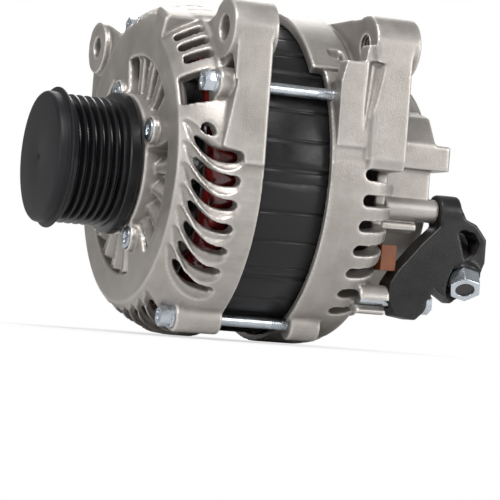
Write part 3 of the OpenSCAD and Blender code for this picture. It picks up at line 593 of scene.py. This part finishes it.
def make_rear_bracket():
    casting = of_cad("rear_bracket", "rear_bracket_casting")
    # broad flat side under the near lug, with a pointed groove and a step at its foot
    side = [(50.4, 7.6), (50.4, 40), (52.5, 48.5), (60.8, 48.5), (62, 56), (70, 56), (70, 7.6)]
    add(casting, plate([(x, -73.6, z) for x, z in side], (0, 8, 0)))
    groove = [round_x for round_x in ((66.0, -75.6, 49), (65.0, -75.2, 38), (63.4, -74.8, 27), (61.4, -74.6, 15))]
    cut(casting, tube(groove, (4.2, 3.4, 2.2, 0.6)))
    cut(casting, plate([(x, -72.7, z) for x, z in ((49, 6), (49, 12.4), (64.2, 12.4), (64.2, 6))], (0, -4, 0)))
    # open ends of the gills, and the opening beside the lug
    slot = [(67, -2.5), (66, -1.4), (66, 1.4), (67, 2.5), (90, 2.5), (90, -2.5)]
    cut(casting, repeated(plate([(x, -62.4, z) for x, z in slot], (0, -24, 0)), REAR_GILL_ANGLES))
    dark = [(52.5, 51.5), (52.5, 57.8), (58.6, 58.6), (59.4, 50)]
    cut(casting, plate([(x, -80, z) for x, z in dark], (0, 30, 0)))
    cast_soft(casting, CASTING_VOXEL)
    # thread of the near lug
    thread = [(64.9, 5.3), (64.9, 4.95)]
    for turn in range(13):
        start = 65.2 + 1.5 * turn
        thread += [(start, 4.45), (start + 0.2, 4.45), (start + 0.85, 5.05), (start + 1.05, 5.05)]
    thread += [(85.6, 4.95), (85.6, 5.3)]
    sleeve = turned(thread, 64)
    sleeve.location = mm(0, -62, 57)
    pick(settle(sleeve))
    bpy.ops.object.shade_smooth_by_angle(angle=math.radians(40))
    casting = joined([casting, sleeve], "rear_bracket_casting")
    hand_in(casting, "housing", "cast_aluminium", CAST, "rear_bracket")


def make_cover():
    cover = of_cad("rear_cover", "rear_cover_casting")
    cast_soft(cover, 0.7, 3)
    hand_in(cover, "housing", "cast_aluminium", CAST, "rear_cover")


def star(x, push, radius, y, z):
    """A six-lobed recess."""
    points = [(x, y + radius * (1 - 0.26 * (i % 2)) * math.cos(math.pi * i / 6),
               z + radius * (1 - 0.26 * (i % 2)) * math.sin(math.pi * i / 6)) for i in range(12)]
    return plate(points, (push, 0, 0))


def make_screws():
    screws = of_cad("retainer_screws", "retainer_screw_set")
    for angle in SCREW_ANGLES:
        y, z = round_the_shaft(SCREW_RING, angle)[1:]
        cut(screws, star(-20.2, 2.4, 2.6, y, z))
    eased(screws, 0.3)
    hand_in(screws, "housing", "zinc_steel", ZINC, "retainer_screws")
    bolts = of_cad("through_bolts", "through_bolt_set")
    for angle in BOLT_ANGLES:
        y, z = round_the_shaft(BOLT_RING, angle)[1:]
        cut(bolts, bar(-9.8, -8.2, 2.6, y, z))
        for turn in range(9):
            cut(bolts, ring_groove(42.5 + 0.8 * turn, y, z))
    eased(bolts, 0.35)
    hand_in(bolts, "housing", "zinc_steel", ZINC, "through_bolts")


def ring_groove(x, y, z):
    groove = turned([(x, 3.2), (x + 0.6, 3.2), (x + 0.3, 2.2)], 24)
    groove.location = mm(0, y, z)
    return settle(groove)


def make_support():
    """The black foot behind and its nut."""
    foot = of_cad("support_bracket", "support_casting")
    cast_soft(foot, 0.6, 6)
    hand_in(foot, "housing", "black_casting", BLACK_CAST, "support_bracket")
    nut = of_cad("support_nut", "support_hex_nut")
    eased(nut, 0.6, 3)
    hand_in(nut, "housing", "zinc_steel", ZINC, "support_nut")


make_front_bracket()
make_rear_bracket()
make_cover()
make_screws()
make_support()


# ---------- stator ----------

def make_core():
    """The stack, with weld grooves and rolled streaks along it."""
    core = of_cad("stator_core", "stator_stack")
    grooves = []
    for i in range(40):
        size = 1.5 if i % 5 == 0 else 0.6 + 0.25 * (i % 3)
        y, z = round_the_shaft(69.5 + 0.55 * size, 9 * i + 1.5 * (i % 4))[1:]
        grooves.append(bar(14, 54, size, y, z, 12))
    cut(core, joined(grooves))
    eased(core, 0.12, 1, 40)
    hand_in(core, "housing", "core_black", CORE, "stator_core")


make_core()


def make_coils():
    """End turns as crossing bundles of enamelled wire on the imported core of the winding."""
    body = of_cad("stator_winding", "stator_coils")
    bundles = []
    for end, reach in ((15.5, -1), (52.0, 1)):
        for hoop in range(36):
            a0 = hoop * 10
            for layer, (radius, lift, span) in enumerate(((60.6, 12.5, 27), (57.8, 14.5, 33), (54.2, 16.0, 27))):
                path = []
                for i in range(9):
                    t = i / 8
                    x = end + reach * lift * math.sin(math.pi * t) ** 0.6
                    path.append(round_the_shaft(radius + (1.8 * t - 0.9) * (1 if layer % 2 else -1),
                                                a0 + span * t + 4 * layer, x))
                bundles.append(tube(path, [0.85] * 9, sides=1))
    strands = joined(bundles)
    piece = joined([body, strands], "stator_coils")
    pick(piece)
    bpy.ops.object.shade_smooth_by_angle(angle=math.radians(50))
    hand_in(piece, "housing", "winding_red", WINDING, "stator_winding")


make_coils()


# ---------- floor, light and camera ----------

def make_studio():
    low = cad_box[0].z - 0.0005
    bpy.ops.mesh.primitive_plane_add(size=6, location=(0, 0, low))
    floor = bpy.context.object
    floor.name = "floor"
    paper = bpy.data.materials.new("pale_floor")
    paper.use_nodes = True
    tree = paper.node_tree
    shader = tree.nodes["Principled BSDF"]
    shader.inputs["Base Color"].default_value = (0.82, 0.82, 0.82, 1)
    shader.inputs["Roughness"].default_value = 0.9
    glow = tree.nodes.new("ShaderNodeEmission")
    glow.inputs["Color"].default_value = (1, 1, 1, 1)
    glow.inputs["Strength"].default_value = 1.0
    light = tree.nodes.new("ShaderNodeLightPath")
    blend = tree.nodes.new("ShaderNodeMixShader")
    place = tree.nodes.new("ShaderNodeTexCoord")
    far = tree.nodes.new("ShaderNodeVectorMath")
    far.operation = "LENGTH"
    tree.links.new(place.outputs["Object"], far.inputs[0])
    fade = tree.nodes.new("ShaderNodeMapRange")
    fade.inputs["From Min"].default_value = 0.05
    fade.inputs["From Max"].default_value = 0.16
    fade.inputs["To Min"].default_value = 0.6
    tree.links.new(far.outputs["Value"], fade.inputs["Value"])
    seen = tree.nodes.new("ShaderNodeMath")
    seen.operation = "MULTIPLY"
    tree.links.new(fade.outputs["Result"], seen.inputs[1])
    tree.links.new(light.outputs["Is Camera Ray"], seen.inputs[0])
    tree.links.new(seen.outputs[0], blend.inputs[0])
    tree.links.new(shader.outputs[0], blend.inputs[1])
    tree.links.new(glow.outputs[0], blend.inputs[2])
    tree.links.new(blend.outputs[0], tree.nodes["Material Output"].inputs["Surface"])
    floor.data.materials.append(paper)

    world = bpy.data.worlds.new("studio")
    bpy.context.scene.world = world
    world.use_nodes = True
    tree = world.node_tree
    back = tree.nodes["Background"]
    back.inputs["Color"].default_value = (1, 1, 1, 1)
    back.inputs["Strength"].default_value = 0.34
    white = tree.nodes.new("ShaderNodeBackground")
    white.inputs["Color"].default_value = (1, 1, 1, 1)
    white.inputs["Strength"].default_value = 1.0
    path = tree.nodes.new("ShaderNodeLightPath")
    blend = tree.nodes.new("ShaderNodeMixShader")
    either = tree.nodes.new("ShaderNodeMath")
    either.operation = "MAXIMUM"
    tree.links.new(path.outputs["Is Camera Ray"], either.inputs[0])
    tree.links.new(path.outputs["Is Transmission Ray"], either.inputs[1])
    tree.links.new(either.outputs[0], blend.inputs[0])
    tree.links.new(back.outputs[0], blend.inputs[1])
    tree.links.new(white.outputs[0], blend.inputs[2])
    tree.links.new(blend.outputs[0], tree.nodes["World Output"].inputs["Surface"])

    lamps = (("key", (-0.35, -0.8, 1.0), 0.5, 15), ("side", (0.9, -0.9, 0.35), 0.4, 6),
             ("front", (-1.0, -0.2, 0.2), 0.3, 2.5), ("back", (0.3, 0.9, 0.8), 0.6, 5))
    for name, place, size, power in lamps:
        lamp = bpy.data.lights.new(name, "AREA")
        lamp.shape = "SQUARE"
        lamp.size = size
        lamp.energy = power
        holder = bpy.data.objects.new(name, lamp)
        bpy.context.scene.collection.objects.link(holder)
        holder.location = place
        aim = Vector((0.03, 0, 0)) - Vector(place)
        holder.rotation_euler = aim.to_track_quat("-Z", "Y").to_euler()


def make_camera():
    camera = bpy.data.cameras.new("camera")
    camera.lens = 165.6
    camera.sensor_width = 36
    holder = bpy.data.objects.new("camera", camera)
    bpy.context.scene.collection.objects.link(holder)
    right, up, ahead = Vector((0.9205, -0.3836, 0.0750)), Vector((-0.0812, 0, 0.9967)), Vector((0.3823, 0.9235, 0.0311))
    turn = Matrix((right, up, -ahead)).transposed().to_4x4()
    holder.matrix_world = Matrix.Translation((-0.3493, -0.9519, -0.0646)) @ turn
    bpy.context.scene.camera = holder


make_studio()
make_camera()
bpy.context.scene.view_settings.view_transform = "Standard"
